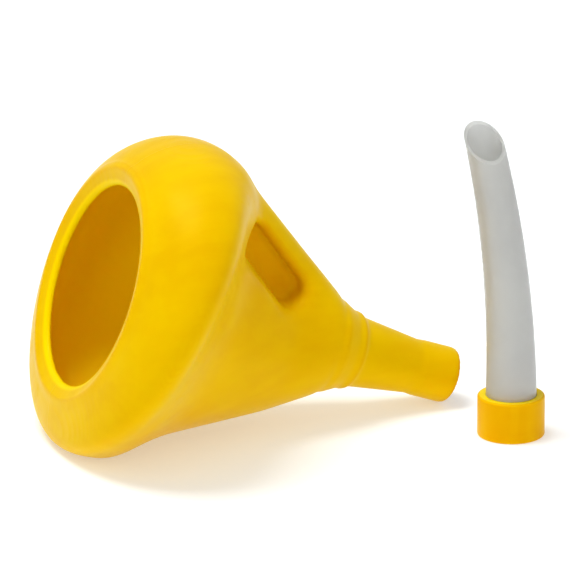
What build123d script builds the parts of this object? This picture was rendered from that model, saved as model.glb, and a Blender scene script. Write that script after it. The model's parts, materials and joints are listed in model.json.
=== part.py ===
from build123d import *
from math import cos, radians, sin, sqrt
import os

# A blow-moulded funnel with a rolled anti-splash rim, a finger grip sunk into each
# side of its upper edge and a tapered spout. It lies on its side with the grip uppermost.
# Its extension spout, a curved tube held in a push-on collar, stands beside it.
# Row frame in mm: +X from the mouth to the spout, +Z up, the table at z = 0.

WALL = 2.4

# Where the funnel lies: the datum on its axis, just in front of the rim, and how far
# the axis dips. At this height and dip the bowl and the end of the spout both just
# touch the table.
DATUM = Vector(-111.556, 0.0, 94.492)
LEAN = 20.256

# Bowl. "Along" is measured down the axis from the datum, and the upper side
# of the bowl reaches its greatest size further back than the lower side. It is a
# little wider than it is tall. The rim is turned in to a smaller mouth.
RIM_ALONG = 1.8
RIM_R = 66.5
LIP_WIDTH = 9.5
LIP_DEPTH = 4.5
MOUTH_R = RIM_R - LIP_WIDTH
BOWL_R = 93.8
BOWL_SIDE_R = 100.0
NOSE_LOW = 12.3
NOSE_HIGH = 43.5
NOSE_POWER = 0.72
BACK_DEPTH = 58.4
SIDE_RATE = 2.2
NOSE_TURNS = range(0, 91, 10)
BACK_TURNS = range(8, 37, 7)

# Flat-sided back: a wide keel below and a narrow ridge above, joined by flats.
# Each outline runs from a (along, radius) point on the underside to one on top.
BACK_OUTLINES = (
    ((31.4, 88.0), (59.2, 89.8), 72.0, 14.0),
    ((120.0, 47.0), (120.0, 49.4), 35.6, 13.0),
)
NECK_ALONG = 152.6
NECK_R = 27.7
FLAT_FROM = 62.0
FLAT_TO = 76.0
SLANT_WALL = WALL / cos(radians(32))

# Spout: a taper from the neck down to a plain cylinder for the push-on collar.
CORNER_ALONG = 166.0
CORNER_R = 20.8
CORNER_FILLET = 20.0
BEAD_ALONG = 165.5
BEAD_CENTRE_R = 21.6
BEAD_R = 1.6
BORE_START = 205.0
TAPER_END = 207.0
TAPER_END_R = 15.6
SEAT_START = 208.5
SEAT_R = 16.2
SEAT_END = 231.0
SEAT_ROUNDING = 2.4
OUTLET_R = 13.3

# Grip: a deep pocket in each side, parallel to the ridge, with a web between them.
GRIP_ALONG = 95.0
GRIP_UP = 39.5
GRIP_LENGTH = 55.0
GRIP_WIDTH = 17.0
GRIP_CORNER = 7.0
GRIP_SLOPE = 35.0
GRIP_REACH = 80.0
GRIP_WEB = 3.0

# How far a cutter reaches past the face that it opens.
CLEAR = 1.0

# Collar of the extension spout, standing on its open end.
COLLAR_AT = Vector(117.044, -65.5, 0.0)
COLLAR_R = 19.0
COLLAR_H = 23.5
SOCKET_R = 16.4
SOCKET_DEPTH = 18.8
FLANGE_SEAT_R = 16.0
LIP_T = 2.4
LIP_HOLE_R = 14.35
COLLAR_ROUNDING = 1.2

# Extension tube: a straight root in the collar, then a gentle even curve.
TUBE_R = 14.3
TIP_R = 10.3
TUBE_WALL = 1.7
FLANGE_R = 15.95
FLANGE_T = 2.2
RUNNING_GAP = 0.05
CURVE_R = 680.0
CURVE_TURN = 13.6
CURVE_STATIONS = 6
CURVE_HEADING = 160.0
TIP_CUT_TILT = 41.0
TIP_CUT_HEADING = 262.0
TIP_CUT_HEIGHT = 172.0

os.makedirs("parts", exist_ok=True)

dip = radians(LEAN)
axis_dir = Vector(cos(dip), 0, -sin(dip))
up_dir = Vector(sin(dip), 0, cos(dip))
# Local x points to the grip, local y to the extension spout, local z along the axis.
lay = Plane(origin=DATUM, x_dir=up_dir, z_dir=axis_dir)
# Half-plane for profiles of revolution: local x is along the axis, local y is radius.
profile = Plane(origin=DATUM, x_dir=axis_dir, z_dir=Vector(0, -1, 0))
spin_axis = Axis(DATUM, axis_dir)


def outline_plane(low, high):
    """Plane through a point of the underside and one of the top, and half its height."""
    bottom = lay.from_local_coords(Vector(-low[1], 0, low[0]))
    top = lay.from_local_coords(Vector(high[1], 0, high[0]))
    rise = top - bottom
    middle = (bottom + top) * 0.5
    plane = Plane(origin=middle, x_dir=rise, z_dir=rise.cross(Vector(0, -1, 0)))
    return plane, rise.length / 2


def oval(low, high, half_width):
    """Draw one oval cross-section of the bowl."""
    plane, half_height = outline_plane(low, high)
    with BuildSketch(plane) as outline:
        Ellipse(half_height, half_width)
    return outline.sketch


def bowl(inset):
    """Loft the bowl's outside, or its inside when inset by the wall."""
    outlines = []
    height = BOWL_R - inset
    width = BOWL_SIDE_R - inset
    front = RIM_ALONG + inset
    for turn in NOSE_TURNS:
        back = (1 - cos(radians(turn))) ** NOSE_POWER
        radius = RIM_R + (height - RIM_R) * sin(radians(turn))
        half_width = RIM_R + (width - RIM_R) * sin(radians(turn))
        low = (front + (NOSE_LOW - front) * back, radius)
        high = (front + (NOSE_HIGH - front) * back, radius)
        outlines.append(oval(low, high, half_width))
    for turn in BACK_TURNS:
        back = (BACK_DEPTH - inset) * sin(radians(turn))
        radius = height * cos(radians(turn))
        half_width = width * cos(radians(turn * SIDE_RATE))
        low = (NOSE_LOW + back, radius)
        high = (NOSE_HIGH + back, radius)
        outlines.append(oval(low, high, half_width))
    loft(outlines, ruled=True)


def keel_and_ridge(low, high, keel_r, ridge_r, inset):
    """Draw a section of the back: keel arc, ridge arc and the two flats."""
    plane, half_height = outline_plane(low, high)
    keel_x = keel_r - half_height
    ridge_x = half_height - ridge_r
    slope = (keel_r - ridge_r) / (ridge_x - keel_x)
    across = sqrt(1 - slope**2)
    keel_r -= inset
    ridge_r -= inset
    keel_end = (keel_x + keel_r * slope, keel_r * across)
    ridge_end = (ridge_x + ridge_r * slope, ridge_r * across)
    with BuildSketch(plane) as outline:
        with BuildLine():
            Line(keel_end, ridge_end)
            ThreePointArc(ridge_end, (ridge_x + ridge_r, 0), (ridge_end[0], -ridge_end[1]))
            Line((ridge_end[0], -ridge_end[1]), (keel_end[0], -keel_end[1]))
            ThreePointArc((keel_end[0], -keel_end[1]), (keel_x - keel_r, 0), keel_end)
        make_face()
    return outline.sketch


def neck_outline(radius):
    """Draw the neck: a circle, but for the last trace of the two flats."""
    upper = (radius * cos(radians(FLAT_FROM)), radius * sin(radians(FLAT_FROM)))
    lower = (radius * cos(radians(FLAT_TO)), radius * sin(radians(FLAT_TO)))
    with BuildSketch(lay.offset(NECK_ALONG)) as outline:
        with BuildLine():
            Line(lower, upper)
            ThreePointArc(upper, (radius, 0), (upper[0], -upper[1]))
            Line((upper[0], -upper[1]), (lower[0], -lower[1]))
            ThreePointArc((lower[0], -lower[1]), (-radius, 0), lower)
        make_face()
    return outline.sketch


def back(inset):
    """Loft the flat-sided back from inside the bowl down to the neck."""
    outlines = [keel_and_ridge(*outline, inset) for outline in BACK_OUTLINES]
    outlines.append(neck_outline(NECK_R - inset))
    loft(outlines, ruled=True)


def grip_pockets(margin, web, mode):
    """Extrude the grip's outline, larger by the margin, away from its web."""
    slope = radians(GRIP_SLOPE)
    ridge_dir = axis_dir * cos(slope) - up_dir * sin(slope)
    centre = lay.from_local_coords(Vector(GRIP_UP, 0, GRIP_ALONG))
    for side in (Vector(0, -1, 0), Vector(0, 1, 0)):
        web_face = Plane(origin=centre + side * (web / 2), x_dir=ridge_dir, z_dir=side)
        with BuildSketch(web_face) as outline:
            RectangleRounded(
                GRIP_LENGTH + 2 * margin, GRIP_WIDTH + 2 * margin, GRIP_CORNER + margin
            )
        extrude(outline.sketch, amount=GRIP_REACH, mode=mode)


# The space inside the funnel, less a block around the grip pockets.
with BuildPart() as cavity:
    bowl(WALL)
    back(SLANT_WALL)
    with BuildSketch(lay.offset(RIM_ALONG - CLEAR)):
        Circle(RIM_R)
    extrude(amount=WALL + 2 * CLEAR)
    with BuildSketch(profile):
        with BuildLine():
            Polyline(
                (NECK_ALONG, 0),
                (NECK_ALONG, NECK_R - SLANT_WALL),
                (CORNER_ALONG, CORNER_R - WALL),
                (BORE_START, OUTLET_R),
                (SEAT_END + CLEAR, OUTLET_R),
                (SEAT_END + CLEAR, 0),
                close=True,
            )
        make_face()
    revolve(axis=spin_axis)
    grip_pockets(WALL, 0, Mode.SUBTRACT)

lip_along = RIM_ALONG + LIP_DEPTH
with BuildPart() as funnel_body:
    bowl(0)
    back(0)
    # Spout, with a fillet where it leaves the neck and a rounded leading edge.
    with BuildSketch(profile):
        with BuildLine():
            FilletPolyline(
                (NECK_ALONG, NECK_R),
                (CORNER_ALONG, CORNER_R),
                (TAPER_END, TAPER_END_R),
                radius=CORNER_FILLET,
            )
            Polyline(
                (TAPER_END, TAPER_END_R),
                (SEAT_START, SEAT_R),
                (SEAT_END - SEAT_ROUNDING, SEAT_R),
            )
            RadiusArc(
                (SEAT_END - SEAT_ROUNDING, SEAT_R),
                (SEAT_END, SEAT_R - SEAT_ROUNDING),
                SEAT_ROUNDING,
            )
            Polyline(
                (SEAT_END, SEAT_R - SEAT_ROUNDING),
                (SEAT_END, 0),
                (NECK_ALONG, 0),
                (NECK_ALONG, NECK_R),
            )
        make_face()
    revolve(axis=spin_axis)
    with BuildSketch(profile):
        with Locations((BEAD_ALONG, BEAD_CENTRE_R)):
            Circle(BEAD_R)
    revolve(axis=spin_axis)
    add(cavity.part, mode=Mode.SUBTRACT)
    grip_pockets(0, GRIP_WEB, Mode.SUBTRACT)
    # Lip: a quarter of an ellipse turned inwards, with a rounded edge.
    with BuildSketch(profile):
        with BuildLine():
            outer = EllipticalCenterArc(
                (lip_along, RIM_R), LIP_DEPTH, LIP_WIDTH, start_angle=180, arc_size=90
            )
            inner = EllipticalCenterArc(
                (lip_along, RIM_R),
                LIP_DEPTH - WALL,
                LIP_WIDTH - WALL,
                start_angle=180,
                arc_size=90,
            )
            Line(outer @ 0, inner @ 0)
            Line(outer @ 1, inner @ 1)
        make_face()
        with Locations((lip_along, MOUTH_R + WALL / 2)):
            Circle(WALL / 2)
    revolve(axis=spin_axis)
funnel_body.part.label = "funnel_body"
export_step(funnel_body.part, "parts/funnel_body.step")

with BuildPart() as extension_collar:
    with BuildSketch(Plane(origin=COLLAR_AT)):
        Circle(COLLAR_R)
    extrude(amount=COLLAR_H)
    with BuildSketch(Plane(origin=COLLAR_AT)):
        Circle(SOCKET_R)
    extrude(amount=SOCKET_DEPTH, mode=Mode.SUBTRACT)
    with BuildSketch(Plane(origin=COLLAR_AT)):
        Circle(FLANGE_SEAT_R)
    extrude(amount=COLLAR_H - LIP_T, mode=Mode.SUBTRACT)
    with BuildSketch(Plane(origin=COLLAR_AT)):
        Circle(LIP_HOLE_R)
    extrude(amount=COLLAR_H, mode=Mode.SUBTRACT)
    outer_rims = extension_collar.edges().filter_by(GeomType.CIRCLE).group_by(SortBy.RADIUS)[-1]
    fillet(outer_rims, radius=COLLAR_ROUNDING)
extension_collar.part.label = "extension_collar"
export_step(extension_collar.part, "parts/extension_collar.step")


def tube_outlines(inset):
    """Draw the round sections of the curved part of the tube, root to tip."""
    outlines = []
    heading = radians(CURVE_HEADING)
    lean_dir = Vector(cos(heading), sin(heading), 0)
    root = COLLAR_AT + Vector(0, 0, COLLAR_H)
    for station in range(CURVE_STATIONS + 1):
        share = station / CURVE_STATIONS
        turn = radians(CURVE_TURN * share)
        centre = (
            root
            + lean_dir * (CURVE_R * (1 - cos(turn)))
            + Vector(0, 0, CURVE_R * sin(turn))
        )
        tangent = lean_dir * sin(turn) + Vector(0, 0, cos(turn))
        with BuildSketch(Plane(origin=centre, z_dir=tangent)) as outline:
            Circle(TUBE_R + (TIP_R - TUBE_R) * share - inset)
        outlines.append(outline.sketch)
    return outlines


flange_top = COLLAR_H - LIP_T - RUNNING_GAP
with BuildPart() as extension_tube:
    loft(tube_outlines(0))
    with BuildSketch(Plane(origin=COLLAR_AT + Vector(0, 0, flange_top - FLANGE_T))):
        Circle(TUBE_R)
    extrude(amount=COLLAR_H - flange_top + FLANGE_T)
    with BuildSketch(Plane(origin=COLLAR_AT + Vector(0, 0, flange_top - FLANGE_T))):
        Circle(FLANGE_R)
    extrude(amount=FLANGE_T)
    loft(tube_outlines(TUBE_WALL), mode=Mode.SUBTRACT)
    with BuildSketch(Plane(origin=COLLAR_AT + Vector(0, 0, flange_top - FLANGE_T))):
        Circle(TUBE_R - TUBE_WALL)
    extrude(amount=COLLAR_H - flange_top + FLANGE_T, mode=Mode.SUBTRACT)
    # The tip is cut on the slant, with its long side at the back.
    tip_heading = radians(TIP_CUT_HEADING)
    tilt = radians(TIP_CUT_TILT)
    cut_dir = Vector(cos(tip_heading) * sin(tilt), sin(tip_heading) * sin(tilt), cos(tilt))
    bend = radians(CURVE_HEADING)
    sag = CURVE_R * (1 - cos(radians(CURVE_TURN)))
    tip_centre = COLLAR_AT + Vector(sag * cos(bend), sag * sin(bend), TIP_CUT_HEIGHT)
    split(bisect_by=Plane(origin=tip_centre, z_dir=cut_dir), keep=Keep.BOTTOM)
extension_tube.part.label = "extension_tube"
export_step(extension_tube.part, "parts/extension_tube.step")
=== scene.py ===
import json
from math import acos, cos, pi, radians, sin

import bpy
import numpy as np
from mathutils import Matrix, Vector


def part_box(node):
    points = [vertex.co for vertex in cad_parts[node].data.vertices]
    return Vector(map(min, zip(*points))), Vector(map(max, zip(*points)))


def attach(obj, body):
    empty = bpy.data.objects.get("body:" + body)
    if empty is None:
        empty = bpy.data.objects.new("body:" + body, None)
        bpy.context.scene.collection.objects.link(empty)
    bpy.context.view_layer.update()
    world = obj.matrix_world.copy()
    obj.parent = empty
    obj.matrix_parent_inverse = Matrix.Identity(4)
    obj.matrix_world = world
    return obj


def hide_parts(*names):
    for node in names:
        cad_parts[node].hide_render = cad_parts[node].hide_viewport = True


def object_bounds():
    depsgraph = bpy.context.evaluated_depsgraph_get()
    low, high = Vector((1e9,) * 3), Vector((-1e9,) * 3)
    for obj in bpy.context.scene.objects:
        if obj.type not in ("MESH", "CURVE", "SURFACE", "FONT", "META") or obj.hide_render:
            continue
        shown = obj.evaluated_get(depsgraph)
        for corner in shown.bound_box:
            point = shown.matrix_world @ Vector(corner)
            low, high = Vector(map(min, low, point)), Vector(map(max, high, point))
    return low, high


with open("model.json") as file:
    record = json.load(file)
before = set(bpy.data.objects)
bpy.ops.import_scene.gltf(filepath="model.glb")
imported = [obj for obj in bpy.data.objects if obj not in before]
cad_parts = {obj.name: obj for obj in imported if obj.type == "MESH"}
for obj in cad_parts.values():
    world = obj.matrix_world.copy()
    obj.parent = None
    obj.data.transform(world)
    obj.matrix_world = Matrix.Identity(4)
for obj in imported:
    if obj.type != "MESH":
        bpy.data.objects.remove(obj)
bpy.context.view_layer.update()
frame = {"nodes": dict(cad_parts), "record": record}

import openvdb
from mathutils import Vector

# The looks of a blow-moulded funnel and its extension spout. The funnel's shell is
# made as a signed distance field in millimetres, so that its creases, grip mouths and
# rolled rim are rounded as a moulding's are. Its lengths are the CAD's. The roundings
# and the ridge along the rim are this script's own.

record = frame["record"]
mounts = {m["name"]: m for m in record["mounts"]}

# Millimetres: the grid's spacing, how far out distances are kept, the room that the
# grid leaves around the funnel, and the wall.
VOXEL = 1.0
BAND = 22.0
MARGIN = 6
WALL = 2.4

# ---------------------------------------------------------------- funnel frame
# The spout's mount lies this far down the axis from the datum in front of the rim.
SEAT_MIDDLE = 219.0
axis_dir = np.array(mounts["spout_end"]["axis"])
datum = np.array(mounts["spout_end"]["pos_m"]) * 1000 - axis_dir * SEAT_MIDDLE
up_dir = np.array((-axis_dir[2], 0, axis_dir[0]))


def place(along, up, side):
    """Shared-frame millimetres of points given along the funnel's axis, up and sideways."""
    along, up, side = np.broadcast_arrays(along, up, side)
    points = datum + along[..., None] * axis_dir + up[..., None] * up_dir
    points[..., 1] += side
    return points


funnel_lo, funnel_hi = (np.array(c) * 1000 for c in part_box("funnel_body"))
grid_lo = np.floor((funnel_lo - MARGIN) / VOXEL).astype(int)
grid_size = np.ceil((funnel_hi + MARGIN) / VOXEL).astype(int) - grid_lo
grid_x, grid_y, grid_z = (
    ((grid_lo[i] + np.arange(grid_size[i])) * VOXEL).astype(np.float32) for i in range(3)
)
grid_x, grid_y, grid_z = grid_x[:, None, None], grid_y[None, :, None], grid_z[None, None, :]
g_along = (grid_x - datum[0]) * axis_dir[0] + (grid_z - datum[2]) * axis_dir[2]
g_up = (grid_x - datum[0]) * up_dir[0] + (grid_z - datum[2]) * up_dir[2]
g_side = np.abs(grid_y)
g_radius = np.sqrt(g_up**2 + grid_y**2)


# ---------------------------------------------------------------- distance fields
def level_set(points, quads, triangles=None, band=BAND):
    """Signed distance to a closed mesh on the grid, negative inside."""
    made = openvdb.FloatGrid.createLevelSetFromPolygons(
        points.astype(np.float32),
        triangles=triangles,
        quads=quads,
        transform=openvdb.createLinearTransform(VOXEL),
        halfWidth=band / VOXEL,
    )
    field = np.empty(grid_size, np.float32)
    made.copyToArray(field, ijk=tuple(int(v) for v in grid_lo))
    return field


def skin(rings):
    """Field of a closed surface through rings of points, capped at both ends."""
    count, size, _ = rings.shape
    points = np.concatenate(
        [rings.reshape(-1, 3), rings[0].mean(0)[None], rings[-1].mean(0)[None]]
    )
    here = np.arange(size)
    following = (here + 1) % size
    ring = np.arange(count - 1)[:, None] * size
    quads = np.stack(
        [ring + here, ring + following, ring + size + following, ring + size + here], -1
    )
    tail = (count - 1) * size
    first_cap = np.stack([following, here, np.full(size, count * size)], -1)
    last_cap = np.stack([tail + here, tail + following, np.full(size, count * size + 1)], -1)
    return level_set(
        points,
        quads.reshape(-1, 4).astype(np.uint32),
        np.concatenate([first_cap, last_cap]).astype(np.uint32),
    )


def contour(field):
    """Points and quads of a field's zero surface."""
    made = openvdb.FloatGrid(BAND)
    made.transform = openvdb.createLinearTransform(VOXEL)
    made.copyFromArray(field, ijk=tuple(int(v) for v in grid_lo))
    return made.convertToQuads(0.0)


def join(a, b, blend):
    """Union of two fields with a rounded crease."""
    near = np.maximum(blend - np.abs(a - b), 0)
    return np.minimum(a, b) - near**2 / (4 * blend)


def cut(a, b, blend):
    """Field a less field b, with a rounded edge."""
    near = np.maximum(blend - np.abs(a + b), 0)
    return np.maximum(a, -b) + near**2 / (4 * blend)


def soften(field, sigma):
    """Blur a field a little, which rounds every edge in it."""
    reach = int(3 * sigma / VOXEL)
    weights = np.exp(-0.5 * (np.arange(-reach, reach + 1) * VOXEL / sigma) ** 2)
    weights /= weights.sum()
    for axis in range(3):
        total = np.zeros_like(field)
        for shift, weight in zip(range(-reach, reach + 1), weights):
            total += weight * np.roll(field, shift, axis)
        field = total
    return field


def sample(field, points):
    """Values of a field at points, mixed from the eight nearest grid points."""
    where = np.clip(points / VOXEL - grid_lo, 0, grid_size - 1.001)
    low = where.astype(int)
    share = where - low
    total = np.zeros(len(points))
    for corner in np.ndindex(2, 2, 2):
        weight = np.where(corner, share, 1 - share).prod(axis=1)
        total += weight * field[tuple((low + corner).T)]
    return total


# ---------------------------------------------------------------- funnel shape
RIM_ALONG, RIM_R = 1.8, 66.5
LIP_WIDTH, LIP_DEPTH = 9.5, 4.5
BOWL_R, BOWL_SIDE_R = 93.8, 100.0
NOSE_LOW, NOSE_HIGH, NOSE_POWER = 12.3, 43.5, 0.72
BACK_DEPTH, SIDE_RATE = 58.4, 2.2
BACK_TURN = 37
NECK_ALONG, NECK_R = 152.6, 27.7
NECK_BEAD_ALONG, NECK_BEAD_CENTRE_R, NECK_BEAD_R = 165.5, 21.6, 1.6
CORNER_ALONG, CORNER_R, CORNER_LEG = 166, 20.8, 5
TAPER_END, TAPER_END_R = 207, 15.6
SEAT_START, SEAT_END, SEAT_R, SEAT_ROUNDING = 208.5, 231.0, 16.2, 2.4
BORE_START, OUTLET_R = 205, 13.3
GRIP_ALONG, GRIP_UP, GRIP_SLOPE = 95.0, 39.5, 35
GRIP_HALF_LENGTH, GRIP_HALF_WIDTH, GRIP_CORNER = 27.5, 8.5, 7.0
GRIP_HALF_WEB, GRIP_DRAFT, GRIP_FLOOR_BLEND = 1.5, 0.03, 5
# A ridge along the rim, just behind its front.
RIDGE_BACK, RIDGE_R = 1.2, 2.0
# The sleeve that makes the seat's wall thicker, as a middle radius and half sizes.
SLEEVE_R, SLEEVE_HALF_WALL = 14.55, 1.25
SLEEVE_MIDDLE, SLEEVE_HALF_LENGTH = 218.1, 12.1
around = np.linspace(0, 2 * pi, 240, endpoint=False)


def bowl_rings():
    """Tilted ovals: a bulging nose behind the rim, then a back that closes faster at the sides."""
    rings = []
    for turn in np.radians(np.arange(0, 90, 2.5)):
        back = (1 - cos(turn)) ** NOSE_POWER
        radius = RIM_R + (BOWL_R - RIM_R) * sin(turn)
        half_width = RIM_R + (BOWL_SIDE_R - RIM_R) * sin(turn)
        middle = RIM_ALONG + ((NOSE_LOW + NOSE_HIGH) / 2 - RIM_ALONG) * back
        tilt = (NOSE_HIGH - NOSE_LOW) / 2 * back
        rings.append((middle, tilt, radius, half_width))
    for turn in np.radians(np.arange(0, BACK_TURN, 1.5)):
        middle = (NOSE_LOW + NOSE_HIGH) / 2 + BACK_DEPTH * sin(turn)
        tilt = (NOSE_HIGH - NOSE_LOW) / 2
        rings.append((middle, tilt, BOWL_R * cos(turn), BOWL_SIDE_R * cos(SIDE_RATE * turn)))
    return np.array(
        [
            place(m + t * np.cos(around), r * np.cos(around), w * np.sin(around))
            for m, t, r, w in rings
        ]
    )


# low along, low radius, high along, high radius, keel radius, ridge radius
BACK_SECTIONS = np.array(
    (
        (31.4, 88.0, 59.2, 89.8, 72.0, 14.0),
        (120.0, 47.0, 120.0, 49.4, 35.6, 13.0),
        (NECK_ALONG, NECK_R, NECK_ALONG, NECK_R, NECK_R, NECK_R),
    )
)


def back_rings():
    """Sections of the back: a keel arc below and a ridge arc above, joined by flats."""
    rings = []
    # The shares stop just short of 2, so that every one has a section after it.
    for share in np.linspace(0, 1.998, 60):
        before = int(share)
        mix = share - before
        section = BACK_SECTIONS[before] * (1 - mix) + BACK_SECTIONS[before + 1] * mix
        low_s, low_r, high_s, high_r, keel_r, ridge_r = section
        rise = np.array((high_s - low_s, high_r + low_r))
        half = np.linalg.norm(rise) / 2
        rise /= 2 * half
        keel_x, ridge_x = keel_r - half, half - ridge_r
        corner = acos((keel_r - ridge_r) / (ridge_x - keel_x))
        upper = np.linspace(-corner, corner, 60)
        lower = np.linspace(corner, 2 * pi - corner, 110)
        flat = np.linspace(0, 1, 42)[1:-1]
        ridge = np.stack([ridge_x + ridge_r * np.cos(upper), ridge_r * np.sin(upper)], -1)
        keel = np.stack([keel_x + keel_r * np.cos(lower), keel_r * np.sin(lower)], -1)
        down = ridge[-1] + (keel[0] - ridge[-1]) * flat[:, None]
        back_up = keel[-1] + (ridge[0] - keel[-1]) * flat[:, None]
        x, y = np.concatenate([ridge, down, keel, back_up]).T
        along = (low_s + high_s) / 2 + rise[0] * x
        up = (high_r - low_r) / 2 + rise[1] * x
        rings.append(place(along, up, y))
    return np.array(rings)


def revolve(profile):
    """Rings of a profile of (along, radius) points turned about the funnel's axis."""
    return np.array([place(s, r * np.cos(around), r * np.sin(around)) for s, r in profile])


def spout_profile():
    """The taper, with a filleted corner after the neck, and the seat for the collar."""
    neck, corner, taper_end = np.array(
        ((NECK_ALONG, NECK_R), (CORNER_ALONG, CORNER_R), (TAPER_END, TAPER_END_R))
    )
    start = corner + (neck - corner) / np.linalg.norm(neck - corner) * CORNER_LEG
    end = corner + (taper_end - corner) / np.linalg.norm(taper_end - corner) * CORNER_LEG
    # The first two points lie inside the back.
    points = [(138, 20), (NECK_ALONG - 1.5, NECK_R - 1.2), (NECK_ALONG, NECK_R)]
    for t in np.linspace(0, 1, 9):
        points.append(start * (1 - t) ** 2 + corner * 2 * t * (1 - t) + end * t**2)
    points += [(TAPER_END, TAPER_END_R), (TAPER_END + 0.8, TAPER_END_R + 0.15)]
    round_start, round_r = SEAT_END - SEAT_ROUNDING, SEAT_R - SEAT_ROUNDING
    points += [(SEAT_START, SEAT_R), (round_start, SEAT_R)]
    for turn in np.radians(range(15, 91, 15)):
        points.append(
            (round_start + SEAT_ROUNDING * sin(turn), round_r + SEAT_ROUNDING * cos(turn))
        )
    return points


def grip_field():
    """A deep rounded pocket in each side, with a thin web left between the two."""
    slope = radians(GRIP_SLOPE)
    from_along, from_up = g_along - GRIP_ALONG, g_up - GRIP_UP
    length = np.abs(from_along * cos(slope) - from_up * sin(slope))
    width = np.abs(from_along * sin(slope) + from_up * cos(slope))
    past_length = length - (GRIP_HALF_LENGTH - GRIP_CORNER)
    past_width = width - (GRIP_HALF_WIDTH - GRIP_CORNER)
    outline = (
        np.hypot(np.maximum(past_length, 0), np.maximum(past_width, 0))
        + np.minimum(np.maximum(past_length, past_width), 0)
        - GRIP_CORNER
    )
    depth = GRIP_HALF_WEB - g_side
    near = np.maximum(GRIP_FLOOR_BLEND - np.abs(outline - depth), 0)
    drafted = outline - GRIP_DRAFT * (g_side - GRIP_HALF_WEB)
    return np.maximum(drafted, depth) + near**2 / (4 * GRIP_FLOOR_BLEND)


def lip_field():
    """The rim's lip, turned in along over a quarter of an ellipse, with a rounded edge."""
    middle_s = RIM_ALONG + LIP_DEPTH
    turns = np.linspace(-pi / 8, pi / 2, 16)
    middle = np.stack(
        [
            middle_s - (LIP_DEPTH - WALL / 2) * np.cos(turns),
            RIM_R - (LIP_WIDTH - WALL / 2) * np.sin(turns),
        ],
        -1,
    )
    field = np.full(grid_size, BAND, np.float32)
    near = np.broadcast_to(g_along < middle_s + 4 * WALL, field.shape)
    here = np.stack([np.broadcast_to(g, field.shape)[near] for g in (g_along, g_radius)], -1)
    closest = np.full(len(here), BAND)
    for start, end in zip(middle[:-1], middle[1:]):
        run = end - start
        share = np.clip((here - start) @ run / (run @ run), 0, 1)
        closest = np.minimum(closest, np.linalg.norm(here - start - share[:, None] * run, axis=1))
    field[near] = closest - WALL / 2
    return field


def funnel_mesh():
    """Points, quads and a mask of the outer skin, from the joined and hollowed fields."""
    # The crease between bowl and back is sharper on top and below than at the sides.
    sides = np.clip(g_side / 30, 0, 1)
    crease = 2 + 20 * sides**2 * (3 - 2 * sides)
    solid = join(skin(bowl_rings()), skin(back_rings()), crease)
    solid = soften(solid, 3.6)
    solid = join(solid, skin(revolve(spout_profile())), 2.5)
    bead = np.hypot(g_along - NECK_BEAD_ALONG, g_radius - NECK_BEAD_CENTRE_R) - NECK_BEAD_R
    solid = join(solid, bead, 1.2)
    solid = cut(solid, grip_field(), 7.0)
    # Blends bend the distances, so they are measured again before the shell is hollowed.
    points, quads = contour(solid)
    solid = soften(level_set(points, quads, band=6), 0.9)

    shell = np.maximum(solid, -(solid + WALL))
    # The plate across the mouth and the one across the outlet come out.
    behind_plate = g_along - RIM_ALONG - 2 * WALL
    shell = np.maximum(shell, -np.maximum(g_radius - RIM_R, behind_plate))
    sleeve = np.maximum(
        np.abs(g_radius - SLEEVE_R) - SLEEVE_HALF_WALL,
        np.abs(g_along - SLEEVE_MIDDLE) - SLEEVE_HALF_LENGTH,
    )
    shell = np.minimum(shell, sleeve)
    shell = np.maximum(shell, -np.maximum(g_radius - OUTLET_R, BORE_START - g_along))
    ridge = np.hypot(g_along - RIM_ALONG - RIDGE_BACK, g_radius - RIM_R) - RIDGE_R
    shell = join(join(shell, lip_field(), 1.0), ridge, 1.5)
    points, quads = contour(soften(shell, 0.8))
    return points, quads, np.clip(1 + sample(solid, points) / WALL, 0, 1)


def new_mesh(name, points, quads):
    """A smooth-shaded object from points in metres and faces."""
    mesh = bpy.data.meshes.new(name)
    mesh.from_pydata(points.tolist(), [], quads.tolist())
    mesh.validate()
    mesh.shade_smooth()
    piece = bpy.data.objects.new(name, mesh)
    bpy.context.scene.collection.objects.link(piece)
    relax = piece.modifiers.new("relax", "SMOOTH")
    relax.factor = 0.5
    relax.iterations = 4
    return piece


points, quads, outer = funnel_mesh()
# Nothing dips into the floor.
FLOOR_CLEARANCE = 0.01
points[:, 2] = np.maximum(points[:, 2], FLOOR_CLEARANCE)
funnel = new_mesh("funnel_shell", points / 1000, quads[:, ::-1])
mask = funnel.data.attributes.new("outer", "FLOAT", "POINT")
mask.data.foreach_set("value", outer.astype(np.float32))
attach(funnel, "funnel")
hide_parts("funnel_body")


# ---------------------------------------------------------------- materials
def srgb(r, g, b):
    """A shader colour from an 8-bit one."""
    linear = [
        c / 12.92 if c <= 0.04045 else ((c + 0.055) / 1.055) ** 2.4
        for c in (v / 255 for v in (r, g, b))
    ]
    return (*linear, 1)


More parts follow.
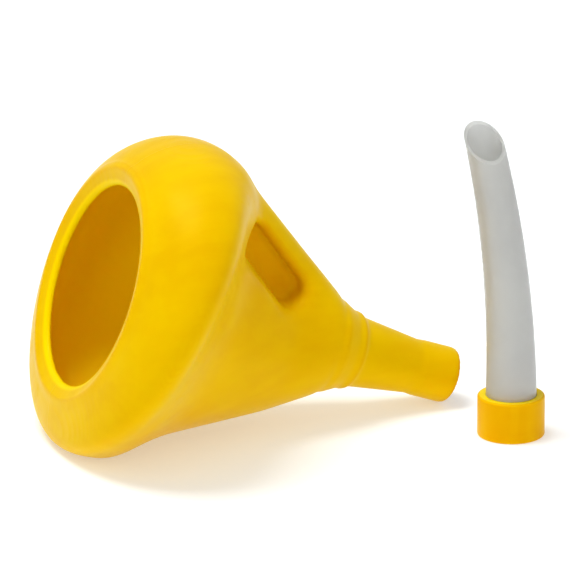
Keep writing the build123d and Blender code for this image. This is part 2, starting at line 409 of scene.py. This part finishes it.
class Nodes:
    """Short calls for building one material's node tree."""

    def __init__(self, name):
        self.material = bpy.data.materials.new(name)
        self.material.use_nodes = True
        self.tree = self.material.node_tree
        self.shader = self.tree.nodes["Principled BSDF"]

    def add(self, kind, **settings):
        node = self.tree.nodes.new(kind)
        for key, value in settings.items():
            if hasattr(node, key):
                setattr(node, key, value)
            else:
                self.feed(node.inputs[key.replace("_", " ")], value)
        return node

    def feed(self, socket, value):
        if isinstance(value, bpy.types.NodeSocket):
            self.tree.links.new(value, socket)
        else:
            socket.default_value = value

    def noise(self, where, scale, detail=2.0):
        return self.add("ShaderNodeTexNoise", Vector=where, Scale=scale, Detail=detail).outputs[0]

    def ramp(self, value, low, high, out_low=0.0, out_high=1.0):
        node = self.add("ShaderNodeMapRange", interpolation_type="SMOOTHSTEP")
        for socket, setting in zip(node.inputs, (value, low, high, out_low, out_high)):
            self.feed(socket, setting)
        return node.outputs[0]

    def math(self, operation, *values):
        node = self.add("ShaderNodeMath", operation=operation)
        for socket, setting in zip(node.inputs, values):
            self.feed(socket, setting)
        return node.outputs[0]

    def mix(self, share, a, b):
        node = self.add("ShaderNodeMix", data_type="RGBA")
        self.feed(node.inputs[0], share)
        self.feed(node.inputs[6], a)
        self.feed(node.inputs[7], b)
        return node.outputs[2]

    def bump(self, height, distance):
        node = self.add("ShaderNodeBump")
        self.feed(node.inputs["Strength"], 0.5)
        self.feed(node.inputs["Distance"], distance)
        self.feed(node.inputs["Height"], height)
        return node.outputs[0]


def moulded_yellow(name, roughness, lengthwise, deep, usual, pale):
    """Yellow polyethylene: cloudy colour, streaks along the moulding, orange peel, scuffs, a
    painted highlight on convex edges and painted shade in hollows.
    """
    n = Nodes(name)
    where = n.add("ShaderNodeTexCoord").outputs["Object"]
    turned = n.add("ShaderNodeMapping", Vector=where)
    turned.inputs["Rotation"].default_value = (0, lengthwise, 0)
    turned.inputs["Scale"].default_value = (6, 110, 110)
    streaks = n.ramp(n.noise(turned.outputs[0], 1.0, 3), 0.35, 0.7)
    cloudy = n.mix(n.ramp(n.noise(where, 16, 3), 0.35, 0.65), deep, usual)
    coloured = n.mix(n.math("MULTIPLY", streaks, 0.25), cloudy, pale)
    scuffs = n.ramp(n.noise(where, 190, 5), 0.6, 0.78)
    gloss = n.ramp(n.noise(where, 45, 4), 0.3, 0.7, roughness - 0.05, roughness + 0.06)
    n.feed(n.shader.inputs["Roughness"], n.math("MULTIPLY_ADD", scuffs, 0.14, gloss))
    peel = n.noise(where, 380, 2)
    n.feed(n.shader.inputs["Normal"], n.bump(peel, PEEL_DEPTH))
    # Painted highlight and painted shade: convex edges are painted paler, and hollows and creases
    # are painted deeper in colour.
    bend = n.add("ShaderNodeNewGeometry").outputs["Pointiness"]
    coloured = n.mix(n.ramp(bend, 0.502, 0.54), coloured, EDGE_PAINTED_HIGHLIGHT)
    coloured = n.mix(n.ramp(bend, 0.46, 0.498), HOLLOW_PAINTED_SHADE, coloured)
    n.feed(n.shader.inputs["Base Color"], coloured)
    n.shader.inputs["Specular IOR Level"].default_value = 0.1
    n.shader.inputs["Specular Tint"].default_value = (1.0, 0.82, 0.06, 1)
    n.shader.inputs["Subsurface Weight"].default_value = 0.5
    n.shader.inputs["Subsurface Radius"].default_value = (0.005, 0.0035, 0.0003)
    n.shader.inputs["Subsurface Scale"].default_value = 1.0
    return n, where, coloured, peel


def funnel_yellow():
    """The funnel's finish: a faint parting line outside, and a paler yellow inside as painted
    light that offsets the shade within.
    """
    n, where, coloured, peel = moulded_yellow("moulded_yellow", 0.33, LEAN, *FUNNEL_YELLOWS)
    outside = n.add("ShaderNodeAttribute", attribute_name="outer").outputs["Fac"]
    outside = n.ramp(outside, 0.3, 0.7)
    # The inside gets a paler yellow, painted light that offsets the shade within the funnel.
    n.feed(n.shader.inputs["Base Color"], n.mix(outside, INSIDE_PAINTED_LIGHT, coloured))
    across = n.add("ShaderNodeSeparateXYZ", Vector=where).outputs["Y"]
    seam = n.ramp(n.math("ABSOLUTE", across), 0.0002, 0.0007, 1.0, 0.0)
    seam = n.math("MULTIPLY", seam, outside)
    height = n.math("MULTIPLY_ADD", seam, 2.0, peel)
    n.feed(n.shader.inputs["Normal"], n.bump(height, PEEL_DEPTH))
    return n.material


def milky_plastic(name):
    """Natural polyethylene: a milky wall that passes some of the light."""
    n = Nodes(name)
    where = n.add("ShaderNodeTexCoord").outputs["Object"]
    clouds = n.ramp(n.noise(where, 34, 3), 0.3, 0.7)
    n.feed(n.shader.inputs["Base Color"], n.mix(clouds, MILK_GREY, MILK))
    n.feed(n.shader.inputs["Roughness"], n.ramp(n.noise(where, 90, 3), 0.3, 0.7, 0.3, 0.42))
    n.feed(n.shader.inputs["Normal"], n.bump(n.noise(where, 500, 2), MILK_PEEL_DEPTH))
    n.shader.inputs["Subsurface Weight"].default_value = 0.3
    n.shader.inputs["Subsurface Radius"].default_value = (0.003, 0.003, 0.003)
    n.shader.inputs["Subsurface Scale"].default_value = 1.0
    n.shader.inputs["Transmission Weight"].default_value = 0.5
    n.shader.inputs["IOR"].default_value = 1.5
    return n.material


LEAN = acos(axis_dir[0])
# Metres: how deep the fine unevenness of each surface is.
PEEL_DEPTH, MILK_PEEL_DEPTH = 0.00008, 0.00006
# Deep, usual and pale shades of each moulding.
FUNNEL_YELLOWS = srgb(229, 184, 0), srgb(234, 192, 0), srgb(241, 203, 2)
COLLAR_YELLOWS = srgb(228, 166, 0), srgb(233, 174, 0), srgb(239, 186, 2)
# Painted highlight for convex edges and painted shade for hollows and creases.
EDGE_PAINTED_HIGHLIGHT, HOLLOW_PAINTED_SHADE = srgb(250, 212, 22), srgb(216, 160, 0)
# Painted light: a paler yellow for the funnel's inside, offsetting the shade there.
INSIDE_PAINTED_LIGHT = srgb(252, 214, 0)
MILK, MILK_GREY = srgb(236, 236, 233), srgb(229, 229, 227)

funnel.data.materials.append(funnel_yellow())
collar_yellow = moulded_yellow("collar_yellow", 0.34, pi / 2, *COLLAR_YELLOWS)[0].material
natural = milky_plastic("natural_polyethylene")
for node, material in (("extension_collar", collar_yellow), ("extension_tube", natural)):
    for slot in frame["nodes"][node].material_slots:
        slot.material = material

# ---------------------------------------------------------------- floor, light, camera
lo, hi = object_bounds()
centre = (lo + hi) / 2

FLOOR_REACH = 6.0
floor_corners = [
    (x * FLOOR_REACH, y * FLOOR_REACH, 0) for x, y in ((-1, -1), (1, -1), (1, 1), (-1, 1))
]
floor_mesh = bpy.data.meshes.new("floor")
floor_mesh.from_pydata(floor_corners, [], [(0, 1, 2, 3)])
floor = bpy.data.objects.new("floor", floor_mesh)
floor.location.z = lo.z
bpy.context.scene.collection.objects.link(floor)
floor_nodes = Nodes("pale_floor")
floor_nodes.shader.inputs["Base Color"].default_value = (0.74, 0.75, 0.77, 1)
floor_nodes.shader.inputs["Emission Color"].default_value = (1, 1, 1, 1)
floor_nodes.shader.inputs["Emission Strength"].default_value = 0.3
floor_nodes.shader.inputs["Roughness"].default_value = 0.9
floor_nodes.shader.inputs["Specular IOR Level"].default_value = 0.1
floor.data.materials.append(floor_nodes.material)

world = bpy.data.worlds.new("studio")
bpy.context.scene.world = world
world.use_nodes = True
world.node_tree.nodes["Background"].inputs["Color"].default_value = (1, 1, 1, 1)
world.node_tree.nodes["Background"].inputs["Strength"].default_value = 0.5


def softbox(name, place_at, size, power, colour):
    """A square area light aimed at the middle of the object."""
    light = bpy.data.lights.new(name, "AREA")
    light.shape = "SQUARE"
    light.size = size
    light.energy = power
    light.color = colour
    lamp = bpy.data.objects.new(name, light)
    lamp.location = centre + Vector(place_at)
    lamp.rotation_euler = (centre - lamp.location).to_track_quat("-Z", "Y").to_euler()
    bpy.context.scene.collection.objects.link(lamp)


softbox("key", (-0.7, 0.3, 2.7), 1.2, 43, (0.96, 1.0, 0.97))
softbox("fill", (-0.6, -2.8, 1.2), 1.6, 7, (1.0, 0.95, 0.88))

# The photo's viewing angle, and the point that lies in the middle of its frame.
azimuth, elevation, distance = radians(-19.96), radians(18.49), 4.0
back = Vector((sin(azimuth) * cos(elevation), -cos(azimuth) * cos(elevation), sin(elevation)))
target = centre + Vector((0.0027, -0.0121, -0.0080))
camera = bpy.data.objects.new("camera", bpy.data.cameras.new("camera"))
camera.data.sensor_width = 36
camera.data.lens = 446.4
camera.data.clip_end = 30
camera.location = target + back * distance
camera.rotation_euler = back.to_track_quat("Z", "Y").to_euler()
bpy.context.scene.collection.objects.link(camera)
bpy.context.scene.camera = camera
bpy.context.scene.view_settings.view_transform = "Standard"
bpy.context.scene.view_settings.look = "Medium High Contrast"
